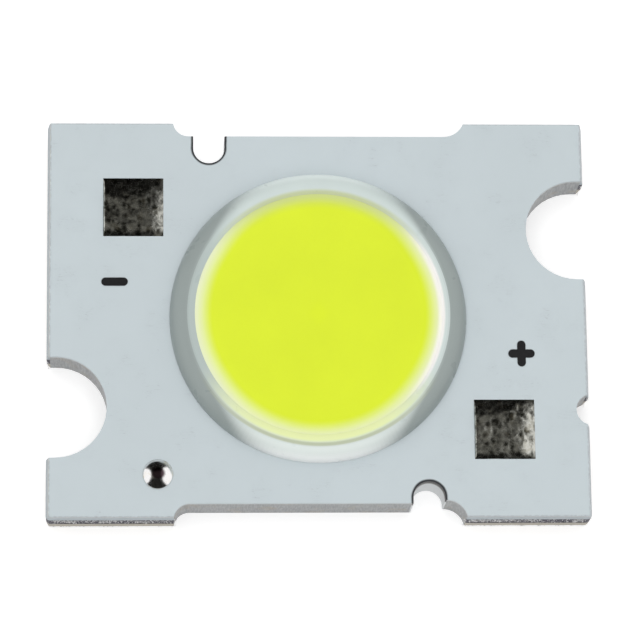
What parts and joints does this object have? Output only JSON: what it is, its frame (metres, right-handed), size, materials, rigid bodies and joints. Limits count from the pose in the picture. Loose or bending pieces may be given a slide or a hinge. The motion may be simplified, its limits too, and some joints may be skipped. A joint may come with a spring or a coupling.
{
  "type": "cob led",
  "caption": "Chip-on-board LED: round yellow phosphor field inside a silicone dam on a white aluminium-core board with screw notches and solder pads.",
  "frame": {"origin": "centre of the board's flat back face", "axes": "+Z leaves the light face, square to the board; +X runs along the board's long side, towards the edge with the small half-round notch and the plus mark; +Y runs towards the rear edge, on the side of the minus pad"},
  "size_m": [0.018, 0.0136, 0.0022],
  "materials": {
    "aluminium": "rolled sheet, routed and scored edges",
    "dielectric": "filled resin, matt",
    "copper": "copper foil",
    "silvered_copper": "silver-plated copper foil",
    "mask": "white solder mask, satin",
    "solder": "tin solder, bright and uneven",
    "silicone": "milky silicone, satin",
    "phosphor": "silicone filled with yellow phosphor, smooth",
    "die": "sapphire chip",
    "gold": "drawn gold wire",
    "ink": "black printed ink"
  },
  "bodies": {
    "root": {"aluminium_core": "aluminium", "dielectric_layer": "dielectric", "cathode_copper": "copper", "anode_copper": "copper", "die_land": "silvered_copper", "test_point_land": "copper", "solder_mask": "mask", "cathode_solder": "solder", "anode_solder": "solder", "test_point_solder": "solder", "silicone_dam": "silicone", "phosphor_fill": "phosphor", "minus_mark": "ink", "plus_mark": "ink", "led_die_1_1": "die", "led_die_1_2": "die", "led_die_1_3": "die", "led_die_1_4": "die", "led_die_1_5": "die", "led_die_2_1": "die", "led_die_2_2": "die", "led_die_2_3": "die", "led_die_2_4": "die", "led_die_2_5": "die", "led_die_3_1": "die", "led_die_3_2": "die", "led_die_3_3": "die", "led_die_3_4": "die", "led_die_3_5": "die", "led_die_4_1": "die", "led_die_4_2": "die", "led_die_4_3": "die", "led_die_4_4": "die", "led_die_4_5": "die", "led_die_5_1": "die", "led_die_5_2": "die", "led_die_5_3": "die", "led_die_5_4": "die", "led_die_5_5": "die", "bond_wires_1": "gold", "bond_wires_2": "gold", "bond_wires_3": "gold", "bond_wires_4": "gold", "bond_wires_5": "gold"}
  },
  "joints": []
}
